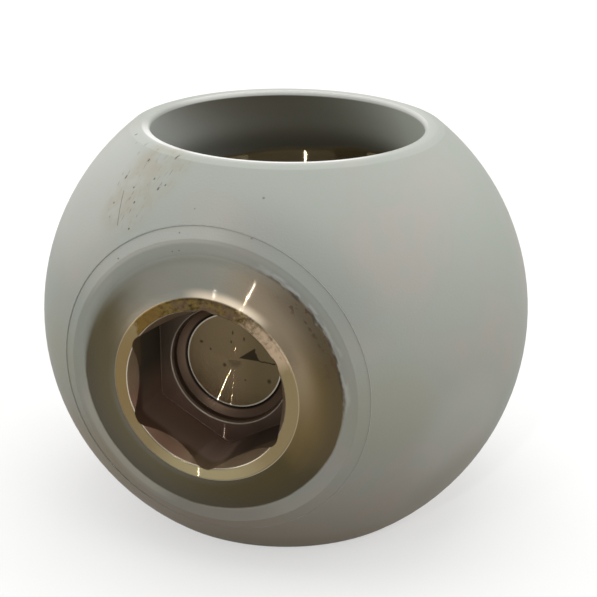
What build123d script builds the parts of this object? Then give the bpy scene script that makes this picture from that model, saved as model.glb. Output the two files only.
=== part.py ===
"""Ball of a ball valve: a turned, coated sphere with a straight flow bore and a hexagonal stem socket.

The origin is the centre of the ball. +Z runs along the flow bore, and the stem enters along -Y.
"""

import os
from math import atan2, cos, pi, sin, sqrt

from build123d import *

# Sphere and flow bore
ball_diameter = 91.5
bore_diameter = 50.0
port_face_width = 3.0  # radial width of the flat at each end of the bore, before its edges are broken
port_bore_edge_radius = 0.7
port_bore_edge_flats = 3  # narrow flats that make up the rounding
port_ball_edge_break = 0.8

# Relief turned into the sphere round the stem: a shallow land, a step down and a domed boss
relief_diameter = 55.6
relief_rim_step = 0.12
relief_step_diameter = 51.7
relief_step_depth = 0.3  # below the sphere, where the land ends and the step begins
boss_diameter = 46.4
boss_dome_radius = 61.0  # of a sphere centred on the stem axis

# Flat ring at the top of the boss, which carries the stem's collar
ring_outer_diameter = 33.3
ring_face_depth = 5.45  # below the pole of the full sphere
ring_edge_break = 0.3

# Hexagonal socket for the stem, with a turned lead-in
mouth_diameter = 28.5
mouth_edge_break = 0.2
lead_in_depth = 2.4
hex_across_flats = 26.0
hex_corner_radius = 2.3

# Round recess under the hexagon, which the broach runs out into
recess_diameter = 21.2
recess_depth = 2.5
recess_edge_break = 0.45
recess_corner_width = 1.8
recess_corner_height = 0.9
recess_bottom_cone_depth = 0.25
wall_behind_socket = 1.8  # between the edge of the recess's bottom and the flow bore

ball_radius = ball_diameter / 2
bore_radius = bore_diameter / 2
port_face_radius = bore_radius + port_face_width
port_face_height = sqrt(ball_radius**2 - port_face_radius**2)
ball_edge_angle = atan2(port_face_height, port_face_radius) - port_ball_edge_break / ball_radius

relief_radius = relief_diameter / 2
step_radius = relief_step_diameter / 2
boss_radius = boss_diameter / 2
ring_radius = ring_outer_diameter / 2
mouth_radius = mouth_diameter / 2
recess_radius = recess_diameter / 2

relief_rim_height = sqrt(ball_radius**2 - relief_radius**2) - relief_rim_step
step_height = sqrt(ball_radius**2 - step_radius**2) - relief_step_depth
ring_height = ball_radius - ring_face_depth
dome_centre_height = ring_height - ring_edge_break - sqrt(boss_dome_radius**2 - ring_radius**2)
boss_foot_height = dome_centre_height + sqrt(boss_dome_radius**2 - boss_radius**2)

recess_bottom_height = bore_radius + wall_behind_socket
hex_floor_height = recess_bottom_height + recess_depth
hex_depth = ring_height - hex_floor_height

cut_past_surface = 1.0  # how far each cutting tool reaches past the surface that it enters

# Sections round the stem are drawn as (distance from the stem axis, height above the ball's centre)
stem_section = Plane(origin=(0, 0, 0), x_dir=(1, 0, 0), z_dir=(0, 0, -1))
stem_ring_plane = Plane(origin=(0, -ring_height, 0), x_dir=(1, 0, 0), z_dir=(0, -1, 0))

with BuildPart() as valve_ball:
    # The turned blank: the wall between the bore and the sphere, cut square at both ports
    with BuildSketch(Plane.XZ):
        with BuildLine():
            turns = [pi / 2 * flat / port_bore_edge_flats for flat in range(port_bore_edge_flats + 1)]
            port_edges = Polyline(
                *[
                    (
                        bore_radius + port_bore_edge_radius * (1 - cos(turn)),
                        port_face_height - port_bore_edge_radius * (1 - sin(turn)),
                    )
                    for turn in turns
                ],
                (port_face_radius - port_ball_edge_break, port_face_height),
                (ball_radius * cos(ball_edge_angle), ball_radius * sin(ball_edge_angle)),
            )
            mirror(about=Plane.XZ)
            Line((bore_radius, -(port_edges @ 0).Y), port_edges @ 0)
            ThreePointArc(port_edges @ 1, (ball_radius, 0), ((port_edges @ 1).X, -(port_edges @ 1).Y))
        make_face()
    revolve(axis=Axis.Z)

    # The relief round the stem: all that stands outside this line is turned away
    with BuildSketch(stem_section):
        with BuildLine():
            ring_edge = Polyline(
                (0, ring_height),
                (ring_radius - ring_edge_break, ring_height),
                (ring_radius, ring_height - ring_edge_break),
            )
            dome = RadiusArc(ring_edge @ 1, (boss_radius, boss_foot_height), boss_dome_radius)
            Polyline(
                dome @ 1,
                (step_radius, step_height),
                (relief_radius, relief_rim_height),
                (relief_radius, ball_radius + cut_past_surface),
                (0, ball_radius + cut_past_surface),
                (0, ring_height),
            )
        make_face()
    revolve(axis=Axis.Y, mode=Mode.SUBTRACT)

    # The round parts of the socket: mouth, lead-in cone and the recess under the hexagon
    with BuildSketch(stem_section):
        with BuildLine():
            Polyline(
                (0, ring_height + cut_past_surface),
                (mouth_radius + mouth_edge_break, ring_height + cut_past_surface),
                (mouth_radius + mouth_edge_break, ring_height),
                (mouth_radius, ring_height - mouth_edge_break),
                (hex_across_flats / 2, ring_height - lead_in_depth),
                (recess_radius + recess_edge_break, ring_height - lead_in_depth),
                (recess_radius + recess_edge_break, hex_floor_height),
                (recess_radius, hex_floor_height - recess_edge_break),
                (recess_radius, recess_bottom_height + recess_corner_height),
                (recess_radius - recess_corner_width, recess_bottom_height),
                (0, recess_bottom_height - recess_bottom_cone_depth),
                (0, ring_height + cut_past_surface),
            )
        make_face()
    revolve(axis=Axis.Y, mode=Mode.SUBTRACT)

    # The hexagon, with two of its corners in line with the flow bore
    with BuildSketch(stem_ring_plane) as hexagon:
        RegularPolygon(hex_across_flats / 2, 6, major_radius=False, rotation=90)
        fillet(hexagon.vertices(), hex_corner_radius)
    extrude(amount=-hex_depth, mode=Mode.SUBTRACT)

valve_ball.part.label = "valve_ball"

os.makedirs("parts", exist_ok=True)
export_step(valve_ball.part, "parts/valve_ball.step")
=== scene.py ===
"""The look of the valve ball: a matt grey coated sphere, with bare turned steel in its stem end and bore."""

import math

import bpy
from mathutils import Matrix, Vector


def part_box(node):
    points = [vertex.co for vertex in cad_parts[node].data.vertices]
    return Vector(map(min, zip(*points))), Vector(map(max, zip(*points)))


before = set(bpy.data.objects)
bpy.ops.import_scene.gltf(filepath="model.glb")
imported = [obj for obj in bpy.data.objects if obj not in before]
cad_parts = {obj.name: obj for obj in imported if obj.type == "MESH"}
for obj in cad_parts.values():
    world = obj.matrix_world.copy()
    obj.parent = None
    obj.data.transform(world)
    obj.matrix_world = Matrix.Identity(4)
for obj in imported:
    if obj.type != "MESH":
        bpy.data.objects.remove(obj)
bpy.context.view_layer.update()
MM = 0.001
BALL = "valve_ball"
low_corner, high_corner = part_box(BALL)

# Sizes of the ball in millimetres: radii round the stem, but for the bore's, and heights from the centre
PORT_HEIGHT = high_corner.z / MM
RING_HEIGHT = -low_corner.y / MM
BORE_RADIUS = 25.0
RELIEF_RADIUS = 27.8
BOSS_RADIUS = 23.2
RING_RADIUS = 16.65
MOUTH_RADIUS = 14.25
RECESS_RADIUS = 10.6
DISC_RADIUS = 8.8
LEAD_IN_HEIGHT = 37.9
HEX_FLOOR_HEIGHT = 29.3
EDGE_ROUNDING = 0.3

# Heights between which a mask of the relief, and one of all that is turned round the stem, goes from 0 to 1
RELIEF_HEIGHTS = (30, 31)
STEM_END_HEIGHTS = (25.4, 25.8)

# Turning marks, in millimetres: how far apart they are, and how far the second and third sets are shifted
GROOVE_PITCH = 0.06
SECOND_PITCH = 0.055
SCATTER_PITCH = 0.05
SECOND_SHIFT = 120
SCATTER_SHIFT = 60

# The photo's camera: it aims at the ball's centre, which lies at this pixel of the 597 x 597 frame
PHOTO_SIZE = 597
CENTRE_PIXEL = (286.0, 306.7)
CAMERA_AZIMUTH = math.radians(19.55)
CAMERA_ELEVATION = math.radians(22.1)
CAMERA_ROLL = math.radians(0.456)
CAMERA_DISTANCE = 263.2 * MM
FOCAL_PIXELS = 1370.3
SENSOR_WIDTH = 36.0

# The floor, in metres: where it goes over from the lamps' light to its own, and where it fades into grey
FLOOR_RADIUS = 12.0
FLOOR_SIDES = 96
LAMPLIGHT_START = 0.3
LAMPLIGHT_END = 1.0
FLOOR_FADE_START = 1.0
FLOOR_FADE_END = 9.0
BACKDROP_GREY = 0.4

# Lamps: name, azimuth and elevation in degrees, distance and width in metres, and power in watts
LAMPS = (
    ("top", 0, 90, 1.3, 1.0, 6.2),
    ("back", 180, 42, 1.3, 1.0, 3.5),
    ("back_left", -125, 25, 1.3, 0.8, 4.6),
    ("back_right", 120, 25, 1.3, 0.8, 4.2),
    ("left", -78, 20, 1.3, 0.9, 4.2),
    ("right", 78, 20, 1.3, 0.9, 4.4),
    ("front_right_lamp", 2.5, 30.4, 1.2, 0.014, 1.7),
    ("front_left_lamp", -18.3, 37, 1.2, 0.014, 0.5),
)

# Patches of colour on the coating: centre and radius in millimetres
ROSY_PATCHES = (((28.5, -25.5, 25.5), 14.0), ((31.0, -28.0, -18.0), 14.0))
YELLOW_PATCHES = (((30.0, -34.0, -2.0), 12.0), ((-30.5, -34.5, -1.0), 11.0))
PALE_LEFT_PATCH = ((-28.0, -23.0, 27.5), 21.0)
PALE_RIGHT_PATCH = ((39.0, -20.0, -10.0), 14.0)
# The last two patches are painted shade: low on the right, and low on the front left
SHADED_PATCH = ((37.0, -13.0, -24.0), 15.0)
UNDERSIDE_SHADE_PATCH = ((-24.5, -34.0, -21.0), 15.0)

# The stain on the upper left: the middle and reach of its pits, how it slants, and the areas that it covers
STAIN_CENTRE = Vector((-16.8, -29.3, 30.9))
STAIN_REACH = 40.0
STAIN_SLANT = Vector((-0.27, -0.62, -0.74)).normalized()
STAIN_PATCHES = (((-17.4, -30.9, 28.8), 8.0), ((-13.5, -27.5, 34.0), 8.5))

# The soft edge of a pit in half widths from its middle, and a distance that is past every pit's edge
PIT_EDGE = (1.4, 0.4)
PAST_EVERY_PIT = 9.0

# Pits of the stain: place down its slant and across it, length and width, in millimetres
DARK_PITS = (
    ((-10.0, 10.5), 0.6, 0.4),
    ((-5.0, 0.5), 0.7, 0.4),
    ((-7.0, -5.0), 1.2, 0.35),
    ((-1.0, 3.5), 0.8, 0.4),
    ((-2.0, -3.5), 0.45, 0.35),
    ((-0.5, -5.5), 0.7, 0.4),
    ((-1.5, -6.5), 0.4, 0.3),
    ((0.5, 0.0), 0.4, 0.3),
    ((3.0, -2.0), 0.5, 0.35),
    ((4.0, 3.0), 0.4, 0.3),
    ((7.5, -3.5), 0.4, 0.3),
)
FAINT_PITS = (
    ((-8.0, 4.5), 0.9, 0.25),
    ((-8.0, 7.5), 0.5, 0.2),
    ((-6.0, 4.5), 0.8, 0.2),
    ((-4.0, 0.5), 1.5, 0.15),
    ((-7.5, 0.5), 0.6, 0.2),
    ((-2.0, 3.5), 1.0, 0.2),
    ((-1.5, 5.0), 0.5, 0.2),
    ((0.5, 4.5), 0.9, 0.2),
    ((-1.5, -5.5), 0.8, 0.2),
    ((-4.0, -6.0), 1.4, 0.15),
    ((1.5, -0.5), 0.8, 0.2),
    ((2.5, -0.5), 0.9, 0.2),
    ((4.5, -2.0), 0.8, 0.2),
    ((6.0, -1.0), 1.2, 0.15),
    ((5.0, -4.0), 0.5, 0.2),
    ((6.5, 2.5), 0.4, 0.25),
    ((0.5, -14.0), 0.3, 0.3),
)

# A bent scratch through the stain, with its points given like the pits
STAIN_SCRATCH = ((1.5, 2.0), (4.0, 1.0), (7.5, -0.5))
STAIN_SCRATCH_WIDTH = 0.2

# Pits on the land of the relief: place to the right and up, width and height, in millimetres
LAND_PITS = (
    ((-16.5, 20.4), 0.4, 0.3),
    ((-6.4, 23.1), 0.3, 0.25),
    ((-5.2, 23.4), 0.3, 0.25),
    ((-5.4, 26.2), 0.35, 0.25),
    ((7.0, 26.6), 0.5, 0.3),
)

# One more pit, on the sphere above the relief: centre and radius
LONE_PIT = ((7.3, -31.8, 32.0), 0.3)

# Nicks in the disc at the bottom of the socket, given like the pits on the land
DISC_NICKS = (
    ((1.8, 4.3), 0.4, 0.8),
    ((-0.6, 3.4), 0.4, 0.6),
    ((-0.3, 5.2), 0.35, 0.8),
    ((-1.9, -1.2), 0.7, 0.8),
    ((-4.5, 1.5), 0.4, 0.5),
    ((-6.2, 2.7), 0.7, 0.6),
    ((6.5, -3.0), 0.8, 0.9),
    ((2.0, -3.5), 0.4, 0.3),
)

# The dark wedge in the disc: its two upper sides, the height of its lower one, and the scratch off its tip
WEDGE_SIDES = (((0.8, 0.6), (3.9, 3.0)), ((3.7, 3.0), (4.7, 0.5)))
WEDGE_BOTTOM = (0.4, 0.6)
DISC_SCRATCH = ((4.6, 0, 0.55), (7.6, 0, 0.45))
DISC_SCRATCH_WIDTH = 0.22


class Value:
    """A socket of a shader. Operators on it add Math nodes."""

    def __init__(self, shader, socket):
        self.shader = shader
        self.socket = socket

    def __add__(self, other):
        return self.shader.math("ADD", self, other)

    def __sub__(self, other):
        return self.shader.math("SUBTRACT", self, other)

    def __rsub__(self, other):
        return self.shader.math("SUBTRACT", other, self)

    def __mul__(self, other):
        return self.shader.math("MULTIPLY", self, other)

    def __pow__(self, other):
        return self.shader.math("POWER", self, other)

    __radd__ = __add__
    __rmul__ = __mul__


class Shader:
    """A material that is built up node by node."""

    def __init__(self, name):
        self.material = bpy.data.materials.new(name)
        self.material.use_nodes = True
        self.tree = self.material.node_tree
        self.tree.nodes.clear()

    def node(self, kind, inputs, settings=None, output=0):
        """Adds a node, with its settings first and then the values or links of its sockets."""
        made = self.tree.nodes.new("ShaderNode" + kind)
        for name, value in (settings or {}).items():
            setattr(made, name, value)
        for name, value in inputs.items():
            if isinstance(value, Value):
                self.tree.links.new(value.socket, made.inputs[name])
            else:
                made.inputs[name].default_value = value
        return Value(self, made.outputs[output]) if made.outputs else None

    def math(self, operation, first, second=0.0):
        return self.node("Math", {0: first, 1: second}, {"operation": operation})

    def vector(self, operation, first, second=(0, 0, 0), output=0):
        return self.node("VectorMath", {0: first, 1: second}, {"operation": operation}, output)

    def length(self, vector):
        return self.vector("LENGTH", vector, output=1)

    def dot(self, first, second):
        return self.vector("DOT_PRODUCT", first, second, output=1)

    def scaled(self, vector, factor):
        return self.node("VectorMath", {0: vector, "Scale": factor}, {"operation": "SCALE"})

    def smooth(self, value, start, end):
        """0 where the value is at start and 1 where it is at end, with a soft passage between them."""
        return self.node(
            "MapRange",
            {"Value": value, "From Min": start, "From Max": end},
            {"interpolation_type": "SMOOTHSTEP"},
        )

    def band(self, value, start, end, soft):
        """1 between start and end, with soft borders."""
        return self.smooth(value, start - soft, start + soft) * self.smooth(value, end + soft, end - soft)

    def either(self, first, second):
        return self.math("MAXIMUM", first, second)

    def mix(self, factor, first, second):
        """A colour from first, where factor is 0, to second, where it is 1."""
        return self.node("Mix", {0: factor, 6: first, 7: second}, {"data_type": "RGBA"}, output=2)

    def layered(self, shade, *layers):
        """A colour with others laid over it in turn, each of them given as its mask and its colour."""
        for mask, layer in layers:
            shade = self.mix(mask, shade, layer)
        return shade

    def noise(self, vector, size, detail=2.0, roughness=0.5):
        """Soft noise from 0 to 1 with features of about the given size in millimetres."""
        return self.node(
            "TexNoise",
            {"Vector": vector, "Scale": 1 / size, "Detail": detail, "Roughness": roughness},
        )

    def groove(self, distance, pitch):
        """Noise along one distance only, as left by a turning tool."""
        return self.node(
            "TexNoise",
            {"W": distance, "Scale": 1 / pitch, "Detail": 1.0},
            {"noise_dimensions": "1D"},
        )


def colour(red, green, blue):
    return (red, green, blue, 1.0)


class Finish:
    """What a surface looks like: its colour, how rough it is and how far it is bare metal."""

    def __init__(self, shader, shade, roughness, metallic):
        self.shader = shader
        self.shade = shade
        self.roughness = roughness
        self.metallic = metallic

    def covered(self, other, mask):
        """This finish, with another one over it where the mask is 1."""
        keep = 1 - mask
        return Finish(
            self.shader,
            self.shader.mix(mask, self.shade, other.shade),
            keep * self.roughness + mask * other.roughness,
            keep * self.metallic + mask * other.metallic,
        )


class BallPlace:
    """Where a point of the ball lies, as shader values in millimetres.

    face is the point as seen along the stem, height its distance from the centre towards the stem, and
    across_stem the direction in which it lies off the stem axis.
    """

    def __init__(self, shader):
        self.shader = shader
        self.point = shader.scaled(shader.node("TexCoord", {}, output="Object"), 1 / MM)
        axes = [shader.node("SeparateXYZ", {0: self.point}, output=axis) for axis in range(3)]
        self.x, self.y, self.z = axes
        self.face = shader.node("CombineXYZ", {"X": self.x, "Y": self.z})
        self.height = 0 - self.y
        self.off_stem = shader.node("CombineXYZ", {"X": self.x, "Z": self.z})
        self.across_stem = shader.vector("NORMALIZE", self.off_stem)
        self.from_stem = shader.length(self.off_stem)
        self.from_bore = (self.x * self.x + self.y * self.y) ** 0.5
        self.along_bore = shader.math("ABSOLUTE", self.z)
        self.on_relief = shader.smooth(self.height, *RELIEF_HEIGHTS)

    def toward(self, degrees):
        """1 on this side of the stem axis and -1 on the other. 0 degrees is up and 90 is toward +X."""
        turn = math.radians(degrees)
        return self.shader.dot(self.across_stem, (math.sin(turn), 0, math.cos(turn)))

    def side(self, degrees, start, end):
        """A mask of one side of the stem axis: 0 where toward is at start and 1 where it is at end."""
        return self.shader.smooth(self.toward(degrees), start, end)

    def circle(self, inner, outer, soft):
        """1 on a circle round the stem, between two radii."""
        return self.shader.band(self.from_stem, inner, outer, soft)

    def round_stem(self, stretch):
        """Coordinates that are drawn out along circles round the stem, for marks of turning and sliding."""
        turned = self.shader.scaled(self.across_stem, BOSS_RADIUS / stretch)
        return self.shader.vector("ADD", turned, self.shader.node("CombineXYZ", {"Y": self.from_stem}))

    def off_line(self, point, start, end):
        """The distance of a point from the straight line between two others."""
        line = Vector(end) - Vector(start)
        offset = self.shader.vector("SUBTRACT", point, start)
        along = self.shader.dot(offset, tuple(line / line.length_squared))
        along = self.shader.node("Clamp", {"Value": along})
        nearest = self.shader.scaled(tuple(line), along)
        return self.shader.length(self.shader.vector("SUBTRACT", offset, nearest))

    def scratch(self, point, start, end, width):
        """1 on a thin straight scratch."""
        return self.shader.smooth(self.off_line(point, start, end), 0.75 * width, 0.25 * width)

    def pits(self, patch, places):
        """1 on small oval pits, each given by its centre on the patch and its two sizes."""
        nearest = PAST_EVERY_PIT
        for (centre_x, centre_y), size_x, size_y in places:
            stretch = (2 / size_x, 2 / size_y, 0)
            shift = (-centre_x * stretch[0], -centre_y * stretch[1], 0)
            offset = self.shader.node(
                "VectorMath", {0: patch, 1: stretch, 2: shift}, {"operation": "MULTIPLY_ADD"}
            )
            nearest = self.shader.math("MINIMUM", nearest, self.shader.length(offset))
        return self.shader.smooth(nearest, *PIT_EDGE)

    def blob(self, centre, radius):
        """1 round a place, fading out towards the given distance from it."""
        offset = self.shader.vector("SUBTRACT", self.point, centre)
        return self.shader.smooth(self.shader.length(offset), radius, 0.4 * radius)

    def two_blobs(self, places):
        """1 round either of two places."""
        first, second = places
        return self.shader.either(self.blob(*first), self.blob(*second))


class BallParts:
    """Masks that are 1 on each part of the ball's surface.

    The boss covers the ring, the ring the socket, and the socket the recess. The dome is what the boss has
    outside the ring.
    """

    def __init__(self, shader, place):
        stem_end = shader.smooth(place.height, *STEM_END_HEIGHTS)

        # The coating ends on the boss: in a ragged edge where it is scuffed, and softly at the upper left
        ragged = (shader.noise(place.round_stem(2.0), size=1.3, detail=2) - 0.5) * 1.2
        scuffed = place.side(58, 0.7, 0.9)
        edge = place.from_stem + ragged * (scuffed + 0.15) - scuffed * 0.1
        edge = edge + place.side(150, 0.75, 0.97) * 0.3
        soft = place.side(-35, 0.5, 0.9) * 0.9
        self.boss = stem_end * shader.smooth(edge, soft + BOSS_RADIUS + 0.5, BOSS_RADIUS - soft)
        chips = shader.noise(place.round_stem(3.0), size=0.9, detail=1)
        chipped = stem_end * scuffed * shader.smooth(chips, 0.46, 0.58)
        # A painted shadow just inside the scuffed edge of the coating, and a pale fringe just outside it
        self.coating_edge_shadow = chipped * shader.band(edge, BOSS_RADIUS - 0.1, BOSS_RADIUS + 0.35, 0.2)
        self.fringe = chipped * shader.band(edge, BOSS_RADIUS + 0.6, BOSS_RADIUS + 1.1, 0.3)

        self.ring = stem_end * shader.smooth(place.from_stem, RING_RADIUS + 0.05, RING_RADIUS - 0.05)
        below_ring = shader.smooth(place.height, RING_HEIGHT - 0.1, RING_HEIGHT - 0.25)
        in_mouth = shader.smooth(place.from_stem, MOUTH_RADIUS + 0.02, MOUTH_RADIUS - 0.02)
        within_edge_break = shader.smooth(place.from_stem, RING_RADIUS - 1.0, RING_RADIUS - 1.2)
        self.socket = self.ring * shader.either(below_ring, in_mouth) * within_edge_break
        in_recess = shader.smooth(place.height, HEX_FLOOR_HEIGHT + 0.02, HEX_FLOOR_HEIGHT - 0.05)
        self.recess = self.socket * in_recess
        self.dome = self.boss * (1 - self.ring)

        within_bore = shader.smooth(place.from_bore, BORE_RADIUS + 0.3, BORE_RADIUS + 0.05)
        below_port = shader.smooth(place.along_bore, PORT_HEIGHT - 0.75, PORT_HEIGHT - 0.95)
        self.bore = within_bore * below_port
        wander = shader.noise(place.point, size=6, detail=1) - 0.5
        self.bare_bore = self.bore * shader.smooth(place.along_bore - place.x * 0.09 + wander, 25.8, 24.4)


def coated_sphere(shader, place):
    """Matt grey hard-facing, mottled green and pink, with painted shade making it browner underneath."""
    green = colour(0.386, 0.414, 0.371)
    grey = colour(0.402, 0.412, 0.372)
    pink = colour(0.43, 0.405, 0.366)
    pale = colour(0.488, 0.503, 0.461)
    yellow = colour(0.395, 0.397, 0.33)
    brown = colour(0.40, 0.345, 0.285)
    shaded = colour(0.33, 0.31, 0.265)
    underside_shade = colour(0.32, 0.275, 0.19)
    tone = shader.noise(place.point, size=17, detail=2)
    speckle = shader.noise(place.point, size=3.5, detail=1)
    rosy = shader.either(place.two_blobs(ROSY_PATCHES), shader.smooth(tone, 0.55, 0.7))
    rosy = rosy * shader.smooth(speckle, 0.25, 0.6)
    upper = shader.smooth(place.z, 16, 34)
    # Painted shade under the ball: browner towards the bottom, darker still at the very bottom and low on
    # the front left
    lower = shader.smooth(place.z + place.x * 0.2, -6, -34)
    shaded_underside = shader.either(place.blob(*UNDERSIDE_SHADE_PATCH), shader.smooth(place.z, -28, -33))
    return shader.layered(
        green,
        (shader.smooth(tone, 0.42, 0.6), grey),
        (rosy * 0.85, pink),
        (upper * 0.25, pale),
        (place.blob(*PALE_LEFT_PATCH) * 0.8, pale),
        (place.blob(*PALE_RIGHT_PATCH) * 0.5, pale),
        (place.two_blobs(YELLOW_PATCHES) * 0.7, yellow),
        (lower * 0.85, brown),
        (place.blob(*SHADED_PATCH) * 0.6, shaded),
        (shaded_underside * 0.55, underside_shade),
    )


def coated_relief(shader, place, shade):
    """The coating in the relief: painted light on the land above the stem, painted shade at the boss's foot.
    """
    painted_light_land = colour(0.56, 0.56, 0.52)
    dark = colour(0.25, 0.265, 0.245)
    lit = colour(0.5, 0.49, 0.42)
    painted_light_rim = colour(0.66, 0.66, 0.63)
    # Painted light on the land above the stem, where the slope of the relief would shade it
    land = place.circle(25.2, 27.5, 0.25) * place.side(-25, 0.75, 0.95)
    land = land * (shader.smooth(place.from_stem, 26.0, 25.7) * 0.4 + 0.33)
    # Painted shade at the foot of the boss, and beside the relief on the upper right
    foot_side = place.side(45, 0.75, 0.97) * 0.3 + place.side(0, 0.5, 0.9) * 0.12
    upper_foot = place.circle(23.4, 24.8, 0.5) * foot_side
    lower_foot = place.circle(23.4, 25.9, 0.3) * (place.side(-178, 0.8, 0.97) * 0.45)
    shaded_foot = shader.either(upper_foot, lower_foot)
    beside = shader.smooth(place.from_stem, 25.4, 26.0) * shader.smooth(place.from_stem, 35, 27.5)
    beside = beside * place.side(36, 0.8, 0.98) * shader.smooth(place.height, 20, 28)
    # Painted light on the lower left of the foot, and a pale rim line painted over the step's shade
    lit_foot = place.circle(23.4, 25.0, 0.4) * place.side(-130, 0.8, 0.96)
    rim = place.circle(RELIEF_RADIUS - 0.06, RELIEF_RADIUS + 0.06, 0.05) * place.on_relief
    lit_side = place.side(45, 0.3, 0.8) * 0.6 + place.side(-125, 0.5, 0.9) * 0.4
    return shader.layered(
        shade,
        (land * place.on_relief, painted_light_land),
        (shaded_foot * place.on_relief, dark),
        (beside * 0.36, dark),
        (lit_foot * place.on_relief * 0.7, lit),
        (rim * (lit_side + 0.5), painted_light_rim),
    )


def coated_ports(shader, place, shade):
    """The coating round the ports: painted light on the flat, and a nearly white painted highlight near the
    stem.
    """
    flat_painted_light = colour(0.53, 0.54, 0.5)
    near_edge_highlight = colour(0.79, 0.79, 0.77)
    far_edge_rubbed_and_lit = colour(0.64, 0.64, 0.6)
    # Painted light on the flat and a painted highlight along the near edge; the far edge is partly rubbed
    # pale, partly painted light
    at_port = shader.smooth(place.along_bore, 31.0, 34.6)
    flat = at_port * shader.smooth(place.from_bore, BORE_RADIUS + 3.2, BORE_RADIUS + 0.9)
    at_sides = shader.either(shader.smooth(place.x, -14, -26) * 0.8, shader.smooth(place.x, 16, 26) * 0.5)
    near_stem = shader.smooth(shader.dot(place.point, (0.1, 0.99, 0)), -9, -20)
    edge = at_port * shader.band(place.from_bore, BORE_RADIUS + 0.2, BORE_RADIUS + 1.4, 0.2) * near_stem
    far_edge = shader.smooth(place.along_bore, PORT_HEIGHT - 0.8, PORT_HEIGHT - 0.6)
    far_edge = far_edge * shader.smooth(place.from_bore, BORE_RADIUS + 0.8, BORE_RADIUS + 0.5)
    far_edge = far_edge * shader.smooth(place.y, 2, 14)
    return shader.layered(
        shade,
        (flat * (1 - at_sides) * 0.85, flat_painted_light),
        (edge, near_edge_highlight),
        (far_edge, far_edge_rubbed_and_lit),
    )


def coated_bore(shader, place):
    """The coating inside the flow bore, darker, with painted shade deep in and on the side away from the
    stem.
    """
    shaded_far_side = colour(0.089, 0.082, 0.058)
    lit_left = colour(0.362, 0.373, 0.347)
    lit_right = colour(0.358, 0.377, 0.326)
    dark = colour(0.03, 0.03, 0.022)

    # How far a point lies from the stem's side of the bore, in a direction that turns with the depth
    lip_height = 34.5
    lean = 0.045 * (lip_height - place.along_bore) - 0.49
    away_from_stem = place.y * 0.883 + place.x * lean + shader.smooth(place.along_bore, 31, 25) * 5
    # Painted shade: dark on the side away from the stem and deep in, lighter towards the stem's side
    lit = shader.mix(shader.smooth(place.x, -22, 0), lit_left, lit_right)
    deep = shader.smooth(place.along_bore, 29.5, 25)
    shade = shader.layered(
        shaded_far_side,
        (shader.smooth(away_from_stem, 27.5, 6.5), lit),
        (deep * 0.5, dark),
    )
    return Finish(shader, shade, roughness=0.6, metallic=0.0)


def stained(shader, place, shade):
    """The coating with the brown stain on the upper left of the ball, and a mask of the pits in it."""
    stain = colour(0.40, 0.355, 0.275)
    streak = colour(0.28, 0.24, 0.175)
    pit = colour(0.075, 0.06, 0.042)
    across = STAIN_SLANT.cross(STAIN_CENTRE.normalized())
    offset = shader.vector("SUBTRACT", place.point, tuple(STAIN_CENTRE))
    along_slant = shader.dot(offset, tuple(STAIN_SLANT))
    across_slant = shader.dot(offset, tuple(across))
    patch = shader.node("CombineXYZ", {"X": along_slant, "Y": across_slant})

    area = place.two_blobs(STAIN_PATCHES)
    cloud = shader.smooth(shader.noise(place.point, size=4, detail=2), 0.25, 0.7)
    drawn_out = shader.vector("MULTIPLY", patch, (0.25, 1.0, 0))
    streaks = shader.smooth(shader.noise(drawn_out, size=0.5, detail=1), 0.6, 0.7)

    near = place.blob(tuple(STAIN_CENTRE), STAIN_REACH)
    lone_pit = place.blob(*LONE_PIT) * 0.6
    dark = shader.either(place.pits(patch, DARK_PITS) * near, lone_pit)
    on_land = place.pits(place.face, LAND_PITS) * place.on_relief * 0.8
    faint = shader.either(place.pits(patch, FAINT_PITS) * 0.6, on_land)
    scratch = 0.0
    for start, end in zip(STAIN_SCRATCH, STAIN_SCRATCH[1:]):
        stretch = place.scratch(patch, (*start, 0), (*end, 0), STAIN_SCRATCH_WIDTH)
        scratch = shader.either(scratch, stretch)
    marks = shader.either(dark, shader.either(faint, scratch * 0.65) * near)
    shade = shader.layered(
        shade,
        (area * cloud * 0.6, stain),
        (streaks * area * 0.3, streak),
        (marks * 0.75, pit),
    )
    return shade, dark


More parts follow.
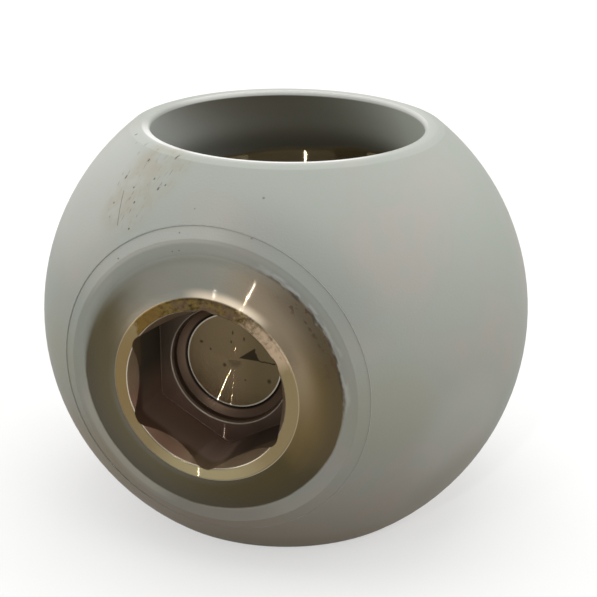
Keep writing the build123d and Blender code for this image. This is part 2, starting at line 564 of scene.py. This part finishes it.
def turned_dome(shader, place):
    """The bare dome round the stem socket: painted pale on its upper side, where a matt film lies, and brown
    elsewhere.
    """
    brown = colour(0.085, 0.07, 0.037)
    olive = colour(0.067, 0.052, 0.023)
    golden = colour(0.132, 0.093, 0.041)
    film_painted_lit = colour(0.30, 0.295, 0.25)
    tan_painted_light = colour(0.33, 0.265, 0.185)
    # dark is painted shade on the outer dome, and glow a painted highlight beside the ring
    dark = colour(0.05, 0.042, 0.028)
    glow = colour(0.8, 0.68, 0.52)
    grey = colour(0.2, 0.21, 0.185)
    chip = colour(0.085, 0.052, 0.032)
    cloud = shader.noise(place.round_stem(3.0), size=5, detail=2) - 0.5
    lower_right = shader.smooth(place.toward(130) + cloud * 0.5, 0.1, 0.9)
    right = shader.smooth(place.toward(80) + cloud * 0.3, 0.6, 0.95)
    # Painted light on the upper side, where the matt film also lies; painted shade further out, away from
    # the upper left; a warm painted highlight beside the ring
    pale = shader.mix(shader.smooth(place.toward(90) + cloud * 0.3, 0.05, 0.5), film_painted_lit, tan_painted_light)
    filmed_and_lit = shader.smooth(place.toward(5) + cloud * 0.25, 0.36, 0.97)
    near_ring = shader.smooth(place.from_stem, 20.8, 17.2) * place.side(15, -0.1, 1.0)
    outer = shader.smooth(place.from_stem, 18.0, 22.8) * place.side(-25, 0.9, 0.4)
    ring_edge_highlight = shader.smooth(place.from_stem, 18.4, 16.8) * place.side(14, 0.88, 0.98)
    foot = place.circle(22.0, 23.6, 0.6) * place.side(-15, 0.5, 0.9)
    chipped = shader.smooth(shader.noise(place.round_stem(1.7), size=0.8, detail=2), 0.58, 0.64)
    chipped = chipped * place.side(58, 0.86, 0.97) * shader.smooth(place.from_stem, 20.5, 22.5)
    shade = shader.layered(
        brown,
        (lower_right, olive),
        (right, golden),
        (filmed_and_lit, pale),
        (near_ring * (1 - filmed_and_lit) * 0.8, tan_painted_light),
        (outer * 0.6, dark),
        (ring_edge_highlight * 0.95, glow),
        (foot * 0.4, grey),
        (chipped * 0.8, chip),
    )
    return Finish(shader, shade, roughness=filmed_and_lit * 0.12 + 0.33, metallic=1 - filmed_and_lit * 0.55)


def rubbed_ring(shader, place):
    """The flat ring that the stem's collar rubs on, yellowed, with a dark worn arc at its upper side."""
    yellow = colour(0.215, 0.165, 0.085)
    orange = colour(0.2, 0.14, 0.062)
    straw = colour(0.31, 0.26, 0.145)
    outer_edge_highlight = colour(0.46, 0.4, 0.28)
    mouth_edge_highlight = colour(0.6, 0.55, 0.44)
    dark = colour(0.036, 0.025, 0.014)
    gold = colour(0.135, 0.093, 0.029)
    amber = colour(0.14, 0.082, 0.02)
    purple = colour(0.11, 0.073, 0.046)
    rosy = colour(0.4, 0.3, 0.2)
    worn = shader.noise(place.round_stem(1.6), size=0.8, detail=3, roughness=0.6)
    patch = shader.noise(place.round_stem(1.5), size=1.6, detail=2)
    worn_steel = shader.layered(
        dark,
        (shader.smooth(worn, 0.3, 0.6), gold),
        (shader.smooth(patch + place.toward(60) * 0.15, 0.46, 0.72) * 0.75, purple),
        (shader.smooth(place.toward(72) + (worn - 0.5) * 0.6, 0.64, 1.0), rosy),
        (place.side(-52, 0.85, 0.98) * 0.7, amber),
    )
    ring_middle = 15.4
    arc_end = (worn - 0.5) * 0.12 + (place.from_stem - ring_middle) * shader.smooth(place.x, 0, -8) * 0.05
    arc = shader.smooth(place.toward(8) - arc_end, 0.48, shader.smooth(place.x, 0, 8) * 0.1 + 0.54)
    # Painted highlights along the ring's outer edge, brightest at the bottom, and along the mouth's edge
    outer_edge = place.circle(RING_RADIUS - 0.12, RING_RADIUS + 0.05, 0.05)
    mouth_edge = place.circle(MOUTH_RADIUS - 0.03, MOUTH_RADIUS + 0.12, 0.05)
    shade = shader.layered(
        yellow,
        (place.side(178, 0.7, 1.0), straw),
        (place.side(-88, 0.75, 0.97), orange),
        (arc, worn_steel),
        (outer_edge * (place.side(180, 0.3, 0.9) * 0.6 + 0.4), outer_edge_highlight),
        (mouth_edge, mouth_edge_highlight),
    )
    return Finish(shader, shade, roughness=0.3, metallic=1.0)


def hexagonal_socket(shader, place):
    """The dark walls of the hexagon, its floor, and its lead-in scallops."""
    wall = colour(0.118, 0.083, 0.061)
    lit_left_wall = colour(0.125, 0.108, 0.08)
    lit_lower_wall = colour(0.33, 0.235, 0.18)
    floor = colour(0.06, 0.042, 0.032)
    scallop = colour(0.22, 0.155, 0.096)
    lower_scallop = colour(0.18, 0.107, 0.07)
    # Painted light and shade: the walls lighter on the left and below, the scallops darker on the lower
    # left, and the floor darker
    at_floor = shader.smooth(place.height, HEX_FLOOR_HEIGHT + 0.4, HEX_FLOOR_HEIGHT + 0.1)
    lead_in = shader.smooth(place.height, LEAD_IN_HEIGHT - 1.5, LEAD_IN_HEIGHT)
    lead_in = lead_in * shader.smooth(place.from_stem, 12.9, 13.2)
    scallops = shader.mix(place.side(-130, 0.7, 0.95), scallop, lower_scallop)
    shade = shader.layered(
        wall,
        (place.side(-100, 0.2, 0.8), lit_left_wall),
        (place.side(-148, 0.45, 0.9), lit_lower_wall),
        (at_floor * 0.6, floor),
        (lead_in, scallops),
    )
    lowest_corner = place.side(180, 0.97, 0.99) * shader.smooth(place.height, 29.8, 30.3)
    return Finish(shader, shade, roughness=lowest_corner * 0.3 + 0.5, metallic=0.9)


def recess_and_disc(shader, place):
    """The recess under the hexagon and the turned disc at its bottom, with a few dark nicks."""
    dark = colour(0.012, 0.010, 0.008)
    brown = colour(0.11, 0.072, 0.048)
    olive = colour(0.148, 0.109, 0.061)
    dim_olive = colour(0.11, 0.083, 0.043)
    edge_highlight_lines = colour(0.42, 0.38, 0.31)
    black = colour(0.01, 0.008, 0.005)

    tremble = shader.noise(place.off_stem, size=0.6, detail=1)
    wavy = shader.vector("ADD", place.off_stem, shader.scaled((1.0, 0.0, 0.6), (tremble - 0.5) * 0.6))
    wedge = shader.smooth(place.z, *WEDGE_BOTTOM)
    for start, end in WEDGE_SIDES:
        inward = Vector((end[1] - start[1], 0, start[0] - end[0])).normalized()
        inside = shader.dot(shader.vector("SUBTRACT", wavy, (start[0], 0, start[1])), tuple(inward))
        wedge = wedge * shader.smooth(inside, -0.05, 0.15)
    marks = shader.either(wedge, place.scratch(wavy, *DISC_SCRATCH, DISC_SCRATCH_WIDTH))
    marks = shader.either(marks, place.pits(place.face, DISC_NICKS) * 0.8)

    # Painted shade in the corner round the disc, and painted highlight lines along the disc's edge and round
    # the recess
    disc = shader.mix(shader.smooth(place.x, 0, 5), olive, dim_olive)
    shade = shader.layered(
        dark,
        (shader.smooth(place.from_stem, DISC_RADIUS + 0.25, DISC_RADIUS + 0.6), brown),
        (shader.smooth(place.from_stem, DISC_RADIUS + 0.05, DISC_RADIUS - 0.05), disc),
        (place.circle(DISC_RADIUS - 0.22, DISC_RADIUS, 0.05), edge_highlight_lines),
        (place.circle(RECESS_RADIUS + 0.3, RECESS_RADIUS + 0.5, 0.07), edge_highlight_lines),
        (marks * 0.85, black),
    )
    metallic = shader.smooth(place.from_stem, DISC_RADIUS + 1.6, DISC_RADIUS + 0.6) * 0.6 + 0.4
    return Finish(shader, shade, roughness=0.35, metallic=metallic)


def ball_finish(shader, place, parts):
    """The finish of the whole ball, and a mask of the pits in its coating."""
    shade = coated_sphere(shader, place)
    shade = coated_relief(shader, place, shade)
    shade = coated_ports(shader, place, shade)
    shade, pits = stained(shader, place, shade)
    finish = Finish(shader, shade, roughness=0.6, metallic=0.0)
    # A painted shadow along the coating's scuffed edge, and a pale fringe beside it
    painted_edge_shadow = Finish(shader, colour(0.06, 0.045, 0.032), roughness=0.6, metallic=0.0)
    pale_edge_fringe = Finish(shader, colour(0.56, 0.57, 0.53), roughness=0.5, metallic=0.0)
    bare_bore = Finish(shader, colour(0.2, 0.16, 0.09), roughness=0.3, metallic=1.0)
    for other, mask in (
        (coated_bore(shader, place), parts.bore),
        (turned_dome(shader, place), parts.boss),
        (painted_edge_shadow, parts.coating_edge_shadow * 0.6),
        (pale_edge_fringe, parts.fringe * 0.6),
        (rubbed_ring(shader, place), parts.ring),
        (hexagonal_socket(shader, place), parts.socket),
        (recess_and_disc(shader, place), parts.recess),
        (bare_bore, parts.bare_bore),
    ):
        finish = finish.covered(other, mask)
    return finish, pits


def worn_normal(shader, place, parts, soft_edges, pits):
    """The ball with its shoulder outside the ring worn round, a fine grain and sunken pits."""
    shoulder = shader.smooth(place.from_stem, 18.6, RING_RADIUS) * parts.boss * (1 - parts.ring) * 0.3
    worn_edges = shader.vector("ADD", soft_edges, shader.scaled(place.across_stem, shoulder))
    worn_edges = shader.vector("NORMALIZE", worn_edges)
    grain = shader.noise(place.point, size=0.35, detail=1) * 0.02 - pits * 0.1
    return shader.node("Bump", {"Height": grain, "Distance": MM, "Normal": worn_edges})


def grooved_normal(shader, place, parts, soft_edges):
    """Turning marks: fine V grooves, whose two flanks draw a lamp out into a radial line.

    The slopes of the outward and inward flanks differ from part to part, which puts the lines where they are
    in the photo.
    """
    dome, ring, recess = parts.dome, parts.ring, parts.recess
    flank = shader.smooth(shader.groove(place.from_stem, GROOVE_PITCH), 0.49, 0.51)
    second_groove = shader.groove(place.from_stem + SECOND_SHIFT, SECOND_PITCH)
    second = shader.smooth(second_groove, 0.47, 0.49)
    rare = shader.smooth(second_groove, 0.59, 0.61)

    dome_start = 16.8
    dome_outward = 0.264 - 0.0229 * (place.from_stem - dome_start)
    disc_outward = 0.673 - 0.0033 * place.from_stem
    disc_inward = 0.559 + 0.0032 * place.from_stem
    ring_inward = 0.722
    dome_inward = 0.2
    outward = dome * dome_outward + recess * disc_outward
    outward = outward + dome * second * shader.smooth(place.from_stem, 19.0, 18.0) * 0.05
    inward = ring * (1 - recess) * ring_inward + recess * disc_inward + dome * dome_inward
    inward = inward + recess * rare * 0.055
    scatter = dome * (shader.smooth(place.from_stem, 18.2, 17.0) * 0.12 + 0.02) + 0.035
    scattered = shader.groove(place.from_stem + SCATTER_SHIFT, SCATTER_PITCH) - 0.5
    stem_tilt = flank * outward - (1 - flank) * inward + scattered * scatter

    bore_flank = shader.smooth(shader.groove(place.z, GROOVE_PITCH), 0.49, 0.51)
    bore_scattered = shader.groove(place.z + SCATTER_SHIFT, SCATTER_PITCH) - 0.5
    bore_tilt = (bore_flank - 0.5) * 0.828 + bore_scattered * 0.08
    grooved = shader.vector("ADD", soft_edges, shader.scaled(place.across_stem, stem_tilt * parts.boss))
    grooved = shader.vector("ADD", grooved, shader.scaled((0.0, 0.0, 1.0), bore_tilt * parts.bare_bore))
    return shader.vector("NORMALIZE", grooved)


def glint_share(shader, place, parts):
    """How much of each part shines like its grooves: none of the coating, and little of the worn arc."""
    worn_arc = parts.ring * shader.smooth(place.from_stem, MOUTH_RADIUS - 0.2, MOUTH_RADIUS)
    worn_arc = worn_arc * place.side(8, 0.5, 0.56)
    near_ring = shader.smooth(place.from_stem, 19.0, 16.8)
    further_out = shader.smooth(place.from_stem, 22.4, 18.5)
    dome = parts.dome * (near_ring * 0.08 + further_out * 0.04)
    ring = parts.ring * (1 - parts.socket) * (1 - worn_arc * 0.85) * 0.07
    return dome + ring + parts.recess * 0.13 + parts.bare_bore * 0.35


def ball_material():
    shader = Shader("coated_and_turned_steel")
    place = BallPlace(shader)
    parts = BallParts(shader, place)
    finish, pits = ball_finish(shader, place, parts)
    soft_edges = shader.node("Bevel", {"Radius": EDGE_ROUNDING * MM}, {"samples": 6})
    satin = shader.node(
        "BsdfPrincipled",
        {
            "Base Color": finish.shade,
            "Roughness": finish.roughness,
            "Metallic": finish.metallic,
            "Normal": worn_normal(shader, place, parts, soft_edges, pits),
            "Specular IOR Level": 0.15,
        },
    )
    glint = shader.node(
        "BsdfPrincipled",
        {
            "Base Color": finish.shade,
            "Roughness": 0.05 - parts.recess * 0.01,
            "Metallic": 1.0,
            "Normal": grooved_normal(shader, place, parts, soft_edges),
        },
    )
    surface = shader.node("MixShader", {0: glint_share(shader, place, parts), 1: satin, 2: glint})
    shader.node("OutputMaterial", {"Surface": surface})
    return shader.material


def floor_material():
    """A white floor that keeps the ball's shadow and fades into the backdrop. Its bounce is dim and warm."""
    bounce = colour(0.16, 0.13, 0.10)
    white = colour(0.93, 0.93, 0.925)
    glowing_white = colour(1, 1, 0.995)
    backdrop_grey = colour(BACKDROP_GREY, BACKDROP_GREY, BACKDROP_GREY)
    shader = Shader("studio_floor")
    seen = shader.node("LightPath", {}, output="Is Camera Ray")
    for ray in ("Is Glossy Ray", "Is Transmission Ray"):
        seen = shader.either(seen, shader.node("LightPath", {}, output=ray))
    lit = shader.node("BsdfDiffuse", {"Color": shader.mix(seen, bounce, white)})
    off_centre = shader.length(shader.node("TexCoord", {}, output="Object"))
    past_lamps = shader.smooth(off_centre, LAMPLIGHT_START, LAMPLIGHT_END)
    far_off = shader.smooth(off_centre, FLOOR_FADE_START, FLOOR_FADE_END)
    glow = shader.mix(far_off, glowing_white, backdrop_grey)
    backdrop = shader.node("Emission", {"Color": glow, "Strength": 1.0})
    share = seen * (past_lamps * 0.5 + 0.5)
    surface = shader.node("MixShader", {0: share, 1: lit, 2: backdrop})
    shader.node("OutputMaterial", {"Surface": surface})
    return shader.material


def direction(azimuth, elevation):
    """The direction from the ball's centre to a lamp or the camera. Azimuth 0 is out of the stem socket."""
    level = math.cos(elevation)
    return Vector((math.sin(azimuth) * level, -math.cos(azimuth) * level, math.sin(elevation)))


def softbox(name, azimuth, elevation, distance, size, power):
    """A square lamp that faces the ball."""
    away = direction(math.radians(azimuth), math.radians(elevation))
    lamp_data = bpy.data.lights.new(name, "AREA")
    lamp_data.shape = "SQUARE"
    lamp_data.size = size
    lamp_data.energy = power
    lamp = bpy.data.objects.new(name, lamp_data)
    lamp.location = away * distance
    lamp.rotation_mode = "QUATERNION"
    lamp.rotation_quaternion = away.to_track_quat("Z", "Y")
    lamp.visible_camera = False
    bpy.context.scene.collection.objects.link(lamp)


def studio():
    bpy.ops.object.select_all(action="DESELECT")
    bpy.ops.mesh.primitive_circle_add(
        vertices=FLOOR_SIDES, radius=FLOOR_RADIUS, fill_type="NGON", location=(0, 0, -PORT_HEIGHT * MM)
    )
    floor = bpy.context.object
    floor.name = "studio_floor"
    floor.data.materials.append(floor_material())

    world = bpy.data.worlds.new("studio")
    bpy.context.scene.world = world
    world.use_nodes = True
    background = world.node_tree.nodes["Background"]
    background.inputs["Color"].default_value = (1, 1, 1, 1)
    background.inputs["Strength"].default_value = BACKDROP_GREY
    for lamp in LAMPS:
        softbox(*lamp)


def photo_camera():
    back = direction(CAMERA_AZIMUTH, CAMERA_ELEVATION)
    level_right = Vector((0, 0, 1)).cross(back).normalized()
    level_up = back.cross(level_right)
    right = math.cos(CAMERA_ROLL) * level_right + math.sin(CAMERA_ROLL) * level_up
    up = back.cross(right)
    lens = bpy.data.cameras.new("photo_camera")
    lens.sensor_width = SENSOR_WIDTH
    lens.lens = SENSOR_WIDTH * FOCAL_PIXELS / PHOTO_SIZE
    lens.shift_x = (PHOTO_SIZE / 2 - CENTRE_PIXEL[0]) / PHOTO_SIZE
    lens.shift_y = (CENTRE_PIXEL[1] - PHOTO_SIZE / 2) / PHOTO_SIZE
    camera = bpy.data.objects.new("photo_camera", lens)
    turned = Matrix((right, up, back)).transposed().to_4x4()
    camera.matrix_world = Matrix.Translation(back * CAMERA_DISTANCE) @ turned
    bpy.context.scene.collection.objects.link(camera)
    bpy.context.scene.camera = camera


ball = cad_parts[BALL]
ball.data.materials.clear()
ball.data.materials.append(ball_material())
studio()
photo_camera()
bpy.context.scene.view_settings.view_transform = "Standard"
